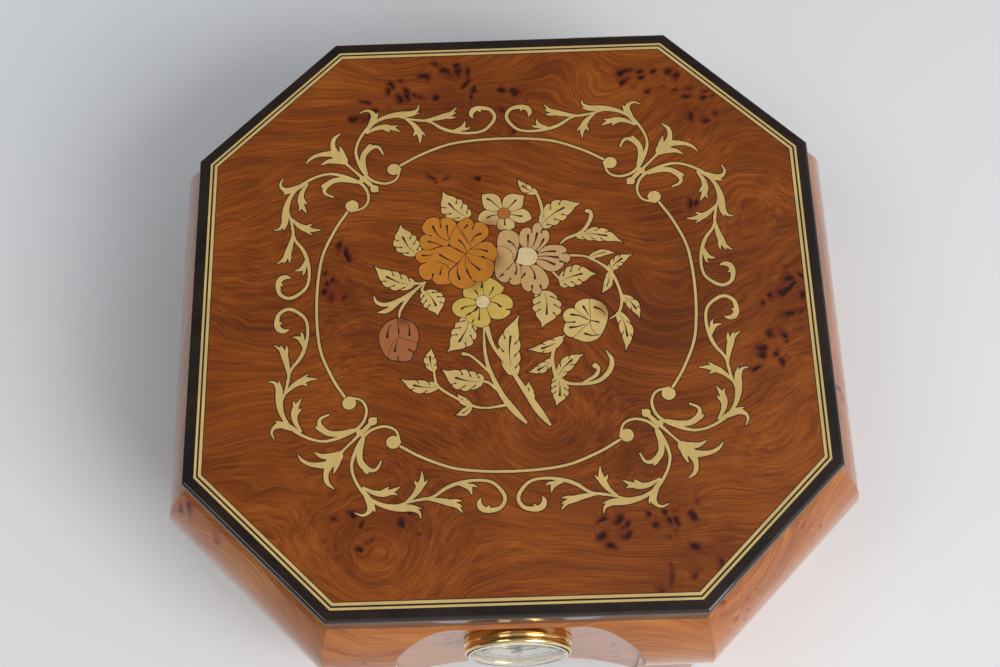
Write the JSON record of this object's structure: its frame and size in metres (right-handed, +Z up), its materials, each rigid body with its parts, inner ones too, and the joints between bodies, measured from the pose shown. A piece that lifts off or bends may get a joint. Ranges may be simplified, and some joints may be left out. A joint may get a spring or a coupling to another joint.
{
  "type": "cylinder music box",
  "caption": "Octagonal inlaid wooden musical jewellery box with a hinged lid, a clock in its front and a wound pinned-cylinder movement inside.",
  "frame": {"origin": "on the resting surface, under the middle of the box", "axes": "+Z up, the clock faces -Y, +X to the right seen from the front"},
  "size_m": [0.238, 0.238, 0.08],
  "materials": {
    "case_wood": "gloss lacquer",
    "plain_wood": "satin",
    "felt": "felt",
    "cover_glass": "clear",
    "velvet": "velvet pile",
    "hinge_brass": "polished",
    "ebony_line": "gloss lacquer",
    "cream_line": "gloss lacquer",
    "burl_veneer": "gloss lacquer",
    "flower_inlay": "gloss lacquer",
    "gilt_case": "polished gilt",
    "grip_rubber": "matt",
    "black_plastic": "gloss",
    "dial_face": "satin enamel",
    "white_plastic": "matt",
    "movement_brass": "brushed",
    "movement_steel": "polished"
  },
  "bodies": {
    "case": {"front_panel": "case_wood", "back_panel": "case_wood", "left_panel": "case_wood", "right_panel": "case_wood", "corner_front_left": "case_wood", "corner_front_right": "case_wood", "corner_back_left": "case_wood", "corner_back_right": "case_wood", "bottom_board": "plain_wood", "foot_pads": "felt", "partition": "plain_wood", "divider": "plain_wood", "cover_cleats": "plain_wood", "glass_cover": "cover_glass", "floor_pads": "velvet", "ring_roll": "velvet", "hinge_leaves_case": "hinge_brass", "hinge_pins": "hinge_brass", "hinge_screws_case": "hinge_brass", "bedplate": "movement_brass", "bedplate_screws": "movement_steel", "bearing_left": "movement_brass", "bearing_right": "movement_brass", "comb": "movement_steel", "comb_base": "movement_brass", "comb_screws": "movement_steel", "barrel_bridge": "movement_brass", "governor_frame": "movement_brass"},
    "lid": {"hinge_leaves_lid": "hinge_brass", "hinge_screws_lid": "hinge_brass", "lid_board": "plain_wood", "lid_edging": "ebony_line", "lid_string_outer": "cream_line", "lid_black_line": "ebony_line", "lid_string_inner": "cream_line", "lid_veneer": "burl_veneer", "inlay_ring": "cream_line", "inlay_bouquet": "flower_inlay", "lid_lining": "velvet"},
    "clock": {"clock_case": "gilt_case", "clock_grip_ring": "grip_rubber", "clock_movement": "black_plastic", "clock_dial": "dial_face", "clock_bezel": "gilt_case", "clock_glass": "cover_glass"},
    "minute_hand": {"minute_hand": "black_plastic"},
    "hour_hand": {"hour_hand": "black_plastic"},
    "set_knob": {"clock_set_knob": "white_plastic"},
    "cylinder": {"music_cylinder": "movement_brass", "cylinder_pins": "movement_steel", "cylinder_arbor": "movement_steel", "great_wheel": "movement_brass"},
    "barrel": {"spring_barrel": "movement_brass"},
    "key": {"winding_arbor": "movement_steel", "ratchet_wheel": "movement_steel", "winding_key": "movement_brass"},
    "click": {"click": "movement_steel"},
    "governor_wheel": {"governor_wheel": "movement_steel"},
    "fly": {"governor_fly": "movement_steel"},
    "stop_plunger": {"stop_plunger": "movement_steel"}
  },
  "joints": [
    {"name": "lid_hinge", "type": "hinge", "parent": "case", "child": "lid", "pos_m": [0, 0.1122, 0.07235], "axis": [-1, 0, 0], "range_deg": [0, 100]},
    {"name": "clock_pull", "type": "slide", "parent": "case", "child": "clock", "axis": [0, -1, 0], "range_m": [0, 0.015]},
    {"name": "minute_turn", "type": "hinge", "parent": "clock", "child": "minute_hand", "pos_m": [0, -0.11, 0.0514], "axis": [0, 1, 0], "continuous": true},
    {"name": "hour_turn", "type": "hinge", "parent": "clock", "child": "hour_hand", "pos_m": [0, -0.11, 0.0514], "axis": [0, 1, 0], "continuous": true},
    {"name": "set_knob_turn", "type": "hinge", "parent": "clock", "child": "set_knob", "pos_m": [0.008, -0.11, 0.0514], "axis": [0, 1, 0], "continuous": true},
    {"name": "cylinder_spin", "type": "hinge", "parent": "case", "child": "cylinder", "pos_m": [0, 0.058, 0.05], "axis": [1, 0, 0], "continuous": true},
    {"name": "barrel_spin", "type": "hinge", "parent": "case", "child": "barrel", "pos_m": [-0.046, 0.058, 0.04], "axis": [0, 0, 1], "continuous": true},
    {"name": "governor_wheel_spin", "type": "hinge", "parent": "case", "child": "governor_wheel", "pos_m": [0.05, 0.07175, 0.05], "axis": [1, 0, 0], "continuous": true},
    {"name": "fly_spin", "type": "hinge", "parent": "case", "child": "fly", "pos_m": [0.057, 0.07995, 0.05], "axis": [0, 0, 1], "continuous": true},
    {"name": "key_turn", "type": "hinge", "parent": "case", "child": "key", "pos_m": [-0.046, 0.058, 0.02], "axis": [0, 0, 1], "continuous": true},
    {"name": "click_swing", "type": "hinge", "parent": "case", "child": "click", "pos_m": [-0.041, 0.07, 0.052], "axis": [0, 0, -1], "range_deg": [0, 12], "stiffness_Nm_per_rad": 0.001},
    {"name": "stop_rise", "type": "slide", "parent": "case", "child": "stop_plunger", "axis": [0, 0, 1], "range_m": [0, 0.003]}
  ],
  "couplings": [
    {"joint": "hour_turn", "follows": "minute_turn", "ratio": 0.083333},
    {"joint": "set_knob_turn", "follows": "minute_turn", "ratio": -3},
    {"joint": "barrel_spin", "follows": "cylinder_spin", "ratio": 0.16667},
    {"joint": "governor_wheel_spin", "follows": "cylinder_spin", "ratio": -4},
    {"joint": "fly_spin", "follows": "cylinder_spin", "ratio": 24},
    {"joint": "stop_rise", "follows": "lid_hinge", "m_per_rad": 0.0017}
  ]
}
